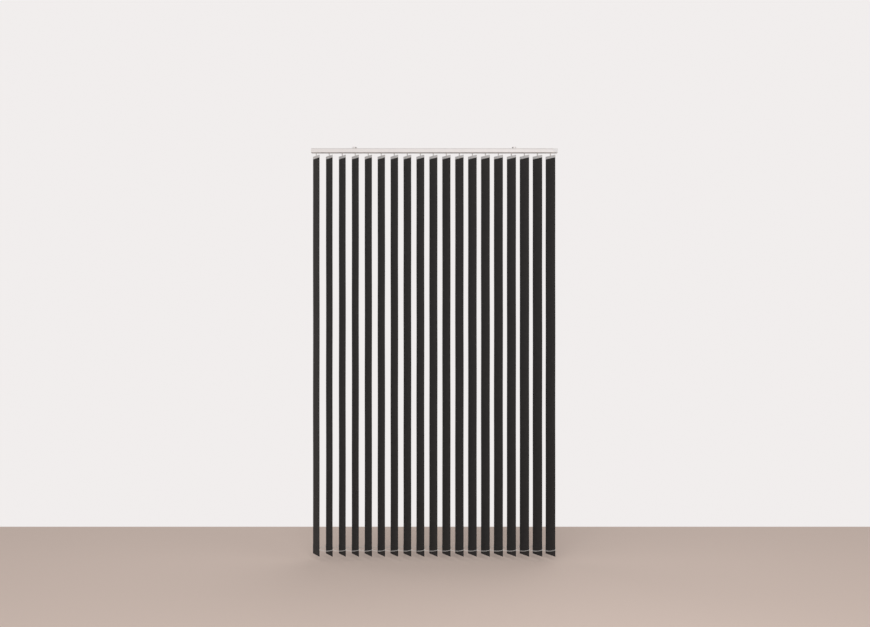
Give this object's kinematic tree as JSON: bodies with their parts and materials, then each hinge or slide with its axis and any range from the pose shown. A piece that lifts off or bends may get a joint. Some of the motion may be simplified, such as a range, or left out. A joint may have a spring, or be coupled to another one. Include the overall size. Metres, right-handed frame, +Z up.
{
  "type": "vertical blind",
  "caption": "Vertical blind: fabric slats hang from runners in a ceiling-fixed headrail, turn together about their stems and stack at the control end.",
  "frame": {"origin": "on the ceiling plane, midway between the screw holes of the two brackets", "axes": "+X along the headrail to the control end, -Y to the room, +Z up"},
  "size_m": [1.5, 0.085, 2.4894],
  "materials": {
    "rail_white": "satin white powder coat",
    "moulded_white": "satin white moulding",
    "clear_acetal": "natural acetal",
    "bright_steel": "zinc plated",
    "rod_aluminium": "mill finish",
    "slat_fabric": "plain near-black woven",
    "chain_white": "white beads on a cord"
  },
  "bodies": {
    "headrail": {"headrail": "rail_white", "idle_end_cap": "moulded_white", "idle_cap_screws": "bright_steel", "idle_pulley_pin": "bright_steel", "rod_bush": "clear_acetal", "control_housing": "moulded_white", "control_cover": "moulded_white", "cover_screws": "bright_steel", "cord_pulley_pin": "bright_steel", "left_bracket": "rail_white", "right_bracket": "rail_white", "left_latch_spring": "bright_steel", "right_latch_spring": "bright_steel", "runner_19": "clear_acetal"},
    "runner_01": {"runner_01": "clear_acetal"},
    "runner_02": {"runner_02": "clear_acetal"},
    "runner_03": {"runner_03": "clear_acetal"},
    "runner_04": {"runner_04": "clear_acetal"},
    "runner_05": {"runner_05": "clear_acetal"},
    "runner_06": {"runner_06": "clear_acetal"},
    "runner_07": {"runner_07": "clear_acetal"},
    "runner_08": {"runner_08": "clear_acetal"},
    "runner_09": {"runner_09": "clear_acetal"},
    "runner_10": {"runner_10": "clear_acetal"},
    "runner_11": {"runner_11": "clear_acetal"},
    "runner_12": {"runner_12": "clear_acetal"},
    "runner_13": {"runner_13": "clear_acetal"},
    "runner_14": {"runner_14": "clear_acetal"},
    "runner_15": {"runner_15": "clear_acetal"},
    "runner_16": {"runner_16": "clear_acetal"},
    "runner_17": {"runner_17": "clear_acetal"},
    "runner_18": {"runner_18": "clear_acetal"},
    "slat_01": {"slat_01": "slat_fabric"},
    "slat_02": {"slat_02": "slat_fabric"},
    "slat_03": {"slat_03": "slat_fabric"},
    "slat_04": {"slat_04": "slat_fabric"},
    "slat_05": {"slat_05": "slat_fabric"},
    "slat_06": {"slat_06": "slat_fabric"},
    "slat_07": {"slat_07": "slat_fabric"},
    "slat_08": {"slat_08": "slat_fabric"},
    "slat_09": {"slat_09": "slat_fabric"},
    "slat_10": {"slat_10": "slat_fabric"},
    "slat_11": {"slat_11": "slat_fabric"},
    "slat_12": {"slat_12": "slat_fabric"},
    "slat_13": {"slat_13": "slat_fabric"},
    "slat_14": {"slat_14": "slat_fabric"},
    "slat_15": {"slat_15": "slat_fabric"},
    "slat_16": {"slat_16": "slat_fabric"},
    "slat_17": {"slat_17": "slat_fabric"},
    "slat_18": {"slat_18": "slat_fabric"},
    "slat_19": {"slat_19": "slat_fabric"},
    "tilt_rod": {"tilt_rod": "rod_aluminium", "chain_wheel": "clear_acetal"},
    "idle_pulley": {"idle_pulley": "clear_acetal"},
    "front_cord_pulley": {"front_cord_pulley": "clear_acetal"},
    "rear_cord_pulley": {"rear_cord_pulley": "clear_acetal"},
    "left_latch": {"left_latch": "bright_steel"},
    "right_latch": {"right_latch": "bright_steel"},
    "front_chain": {"front_chain": "chain_white"},
    "rear_chain": {"rear_chain": "chain_white"}
  },
  "joints": [
    {"name": "traverse", "type": "slide", "parent": "headrail", "child": "runner_01", "axis": [1, 0, 0], "range_m": [0, 1.1052], "deforming": ["front_chain", "rear_chain"]},
    {"name": "runner_02_slide", "type": "slide", "parent": "headrail", "child": "runner_02", "axis": [1, 0, 0], "range_m": [0, 1.0443]},
    {"name": "runner_03_slide", "type": "slide", "parent": "headrail", "child": "runner_03", "axis": [1, 0, 0], "range_m": [0, 0.9829]},
    {"name": "runner_04_slide", "type": "slide", "parent": "headrail", "child": "runner_04", "axis": [1, 0, 0], "range_m": [0, 0.9215]},
    {"name": "runner_05_slide", "type": "slide", "parent": "headrail", "child": "runner_05", "axis": [1, 0, 0], "range_m": [0, 0.8601]},
    {"name": "runner_06_slide", "type": "slide", "parent": "headrail", "child": "runner_06", "axis": [1, 0, 0], "range_m": [0, 0.7987]},
    {"name": "runner_07_slide", "type": "slide", "parent": "headrail", "child": "runner_07", "axis": [1, 0, 0], "range_m": [0, 0.7373]},
    {"name": "runner_08_slide", "type": "slide", "parent": "headrail", "child": "runner_08", "axis": [1, 0, 0], "range_m": [0, 0.6759]},
    {"name": "runner_09_slide", "type": "slide", "parent": "headrail", "child": "runner_09", "axis": [1, 0, 0], "range_m": [0, 0.6145]},
    {"name": "runner_10_slide", "type": "slide", "parent": "headrail", "child": "runner_10", "axis": [1, 0, 0], "range_m": [0, 0.5531]},
    {"name": "runner_11_slide", "type": "slide", "parent": "headrail", "child": "runner_11", "axis": [1, 0, 0], "range_m": [0, 0.4917]},
    {"name": "runner_12_slide", "type": "slide", "parent": "headrail", "child": "runner_12", "axis": [1, 0, 0], "range_m": [0, 0.4303]},
    {"name": "runner_13_slide", "type": "slide", "parent": "headrail", "child": "runner_13", "axis": [1, 0, 0], "range_m": [0, 0.3689]},
    {"name": "runner_14_slide", "type": "slide", "parent": "headrail", "child": "runner_14", "axis": [1, 0, 0], "range_m": [0, 0.3075]},
    {"name": "runner_15_slide", "type": "slide", "parent": "headrail", "child": "runner_15", "axis": [1, 0, 0], "range_m": [0, 0.2461]},
    {"name": "runner_16_slide", "type": "slide", "parent": "headrail", "child": "runner_16", "axis": [1, 0, 0], "range_m": [0, 0.1847]},
    {"name": "runner_17_slide", "type": "slide", "parent": "headrail", "child": "runner_17", "axis": [1, 0, 0], "range_m": [0, 0.1233]},
    {"name": "runner_18_slide", "type": "slide", "parent": "headrail", "child": "runner_18", "axis": [1, 0, 0], "range_m": [0, 0.0619]},
    {"name": "tilt", "type": "hinge", "parent": "runner_01", "child": "slat_01", "pos_m": [-0.7207, 0, -0.0315], "axis": [0, 0, 1], "range_deg": [-115.4, 48.6], "deforming": ["front_chain", "rear_chain"]},
    {"name": "slat_02_turn", "type": "hinge", "parent": "runner_02", "child": "slat_02", "pos_m": [-0.6413, 0, -0.0315], "axis": [0, 0, 1], "range_deg": [-115.4, 48.6]},
    {"name": "slat_03_turn", "type": "hinge", "parent": "runner_03", "child": "slat_03", "pos_m": [-0.5619, 0, -0.0315], "axis": [0, 0, 1], "range_deg": [-115.4, 48.6]},
    {"name": "slat_04_turn", "type": "hinge", "parent": "runner_04", "child": "slat_04", "pos_m": [-0.4825, 0, -0.0315], "axis": [0, 0, 1], "range_deg": [-115.4, 48.6]},
    {"name": "slat_05_turn", "type": "hinge", "parent": "runner_05", "child": "slat_05", "pos_m": [-0.4031, 0, -0.0315], "axis": [0, 0, 1], "range_deg": [-115.4, 48.6]},
    {"name": "slat_06_turn", "type": "hinge", "parent": "runner_06", "child": "slat_06", "pos_m": [-0.3237, 0, -0.0315], "axis": [0, 0, 1], "range_deg": [-115.4, 48.6]},
    {"name": "slat_07_turn", "type": "hinge", "parent": "runner_07", "child": "slat_07", "pos_m": [-0.2443, 0, -0.0315], "axis": [0, 0, 1], "range_deg": [-115.4, 48.6]},
    {"name": "slat_08_turn", "type": "hinge", "parent": "runner_08", "child": "slat_08", "pos_m": [-0.1649, 0, -0.0315], "axis": [0, 0, 1], "range_deg": [-115.4, 48.6]},
    {"name": "slat_09_turn", "type": "hinge", "parent": "runner_09", "child": "slat_09", "pos_m": [-0.0855, 0, -0.0315], "axis": [0, 0, 1], "range_deg": [-115.4, 48.6]},
    {"name": "slat_10_turn", "type": "hinge", "parent": "runner_10", "child": "slat_10", "pos_m": [-0.0061, 0, -0.0315], "axis": [0, 0, 1], "range_deg": [-115.4, 48.6]},
    {"name": "slat_11_turn", "type": "hinge", "parent": "runner_11", "child": "slat_11", "pos_m": [0.0733, 0, -0.0315], "axis": [0, 0, 1], "range_deg": [-115.4, 48.6]},
    {"name": "slat_12_turn", "type": "hinge", "parent": "runner_12", "child": "slat_12", "pos_m": [0.1527, 0, -0.0315], "axis": [0, 0, 1], "range_deg": [-115.4, 48.6]},
    {"name": "slat_13_turn", "type": "hinge", "parent": "runner_13", "child": "slat_13", "pos_m": [0.2321, 0, -0.0315], "axis": [0, 0, 1], "range_deg": [-115.4, 48.6]},
    {"name": "slat_14_turn", "type": "hinge", "parent": "runner_14", "child": "slat_14", "pos_m": [0.3115, 0, -0.0315], "axis": [0, 0, 1], "range_deg": [-115.4, 48.6]},
    {"name": "slat_15_turn", "type": "hinge", "parent": "runner_15", "child": "slat_15", "pos_m": [0.3909, 0, -0.0315], "axis": [0, 0, 1], "range_deg": [-115.4, 48.6]},
    {"name": "slat_16_turn", "type": "hinge", "parent": "runner_16", "child": "slat_16", "pos_m": [0.4703, 0, -0.0315], "axis": [0, 0, 1], "range_deg": [-115.4, 48.6]},
    {"name": "slat_17_turn", "type": "hinge", "parent": "runner_17", "child": "slat_17", "pos_m": [0.5497, 0, -0.0315], "axis": [0, 0, 1], "range_deg": [-115.4, 48.6]},
    {"name": "slat_18_turn", "type": "hinge", "parent": "runner_18", "child": "slat_18", "pos_m": [0.6291, 0, -0.0315], "axis": [0, 0, 1], "range_deg": [-115.4, 48.6]},
    {"name": "slat_19_turn", "type": "hinge", "parent": "headrail", "child": "slat_19", "pos_m": [0.7085, 0, -0.0315], "axis": [0, 0, 1], "range_deg": [-115.4, 48.6]},
    {"name": "rod_turn", "type": "hinge", "parent": "headrail", "child": "tilt_rod", "pos_m": [0, 0.0084, -0.0215], "axis": [1, 0, 0], "range_deg": [-1155, 487]},
    {"name": "idle_pulley_turn", "type": "hinge", "parent": "headrail", "child": "idle_pulley", "pos_m": [-0.739, -0.0098, -0.0205], "axis": [0, 0, 1], "continuous": true},
    {"name": "front_cord_pulley_turn", "type": "hinge", "parent": "headrail", "child": "front_cord_pulley", "pos_m": [0.7381, -0.0132, -0.0239], "axis": [0, 1, 0], "continuous": true},
    {"name": "rear_cord_pulley_turn", "type": "hinge", "parent": "headrail", "child": "rear_cord_pulley", "pos_m": [0.7381, -0.0064, -0.0239], "axis": [0, 1, 0], "continuous": true},
    {"name": "left_latch_slide", "type": "slide", "parent": "headrail", "child": "left_latch", "axis": [0, 1, 0], "range_m": [0, 0.003], "stiffness_N_per_m": 300, "springref_m": -0.003, "deforming": ["left_latch_spring"]},
    {"name": "right_latch_slide", "type": "slide", "parent": "headrail", "child": "right_latch", "axis": [0, 1, 0], "range_m": [0, 0.003], "stiffness_N_per_m": 300, "springref_m": -0.003, "deforming": ["right_latch_spring"]},
    {"name": "front_chain_hang", "type": "hinge", "parent": "slat_19", "child": "front_chain", "pos_m": [0.73547, -0.04091, -2.4474], "axis": [0, 0, 1], "range_deg": [-48.6, 115.4]},
    {"name": "rear_chain_hang", "type": "hinge", "parent": "slat_19", "child": "rear_chain", "pos_m": [0.68153, 0.04091, -2.4474], "axis": [0, 0, 1], "range_deg": [-48.6, 115.4]}
  ],
  "couplings": [
    {"joint": "runner_02_slide", "follows": "traverse", "ratio": 0.94444},
    {"joint": "runner_03_slide", "follows": "traverse", "ratio": 0.88889},
    {"joint": "runner_04_slide", "follows": "traverse", "ratio": 0.83333},
    {"joint": "runner_05_slide", "follows": "traverse", "ratio": 0.77778},
    {"joint": "runner_06_slide", "follows": "traverse", "ratio": 0.72222},
    {"joint": "runner_07_slide", "follows": "traverse", "ratio": 0.66667},
    {"joint": "runner_08_slide", "follows": "traverse", "ratio": 0.61111},
    {"joint": "runner_09_slide", "follows": "traverse", "ratio": 0.55556},
    {"joint": "runner_10_slide", "follows": "traverse", "ratio": 0.5},
    {"joint": "runner_11_slide", "follows": "traverse", "ratio": 0.44444},
    {"joint": "runner_12_slide", "follows": "traverse", "ratio": 0.38889},
    {"joint": "runner_13_slide", "follows": "traverse", "ratio": 0.33333},
    {"joint": "runner_14_slide", "follows": "traverse", "ratio": 0.27778},
    {"joint": "runner_15_slide", "follows": "traverse", "ratio": 0.22222},
    {"joint": "runner_16_slide", "follows": "traverse", "ratio": 0.16667},
    {"joint": "runner_17_slide", "follows": "traverse", "ratio": 0.11111},
    {"joint": "runner_18_slide", "follows": "traverse", "ratio": 0.055556},
    {"joint": "slat_02_turn", "follows": "tilt", "ratio": 1},
    {"joint": "slat_03_turn", "follows": "tilt", "ratio": 1},
    {"joint": "slat_04_turn", "follows": "tilt", "ratio": 1},
    {"joint": "slat_05_turn", "follows": "tilt", "ratio": 1},
    {"joint": "slat_06_turn", "follows": "tilt", "ratio": 1},
    {"joint": "slat_07_turn", "follows": "tilt", "ratio": 1},
    {"joint": "slat_08_turn", "follows": "tilt", "ratio": 1},
    {"joint": "slat_09_turn", "follows": "tilt", "ratio": 1},
    {"joint": "slat_10_turn", "follows": "tilt", "ratio": 1},
    {"joint": "slat_11_turn", "follows": "tilt", "ratio": 1},
    {"joint": "slat_12_turn", "follows": "tilt", "ratio": 1},
    {"joint": "slat_13_turn", "follows": "tilt", "ratio": 1},
    {"joint": "slat_14_turn", "follows": "tilt", "ratio": 1},
    {"joint": "slat_15_turn", "follows": "tilt", "ratio": 1},
    {"joint": "slat_16_turn", "follows": "tilt", "ratio": 1},
    {"joint": "slat_17_turn", "follows": "tilt", "ratio": 1},
    {"joint": "slat_18_turn", "follows": "tilt", "ratio": 1},
    {"joint": "slat_19_turn", "follows": "tilt", "ratio": 1},
    {"joint": "rod_turn", "follows": "tilt", "ratio": 10},
    {"joint": "idle_pulley_turn", "follows": "traverse", "rad_per_m": 294},
    {"joint": "front_cord_pulley_turn", "follows": "traverse", "rad_per_m": 294},
    {"joint": "rear_cord_pulley_turn", "follows": "traverse", "rad_per_m": -294},
    {"joint": "front_chain_hang", "follows": "tilt", "ratio": -1},
    {"joint": "rear_chain_hang", "follows": "tilt", "ratio": -1}
  ]
}
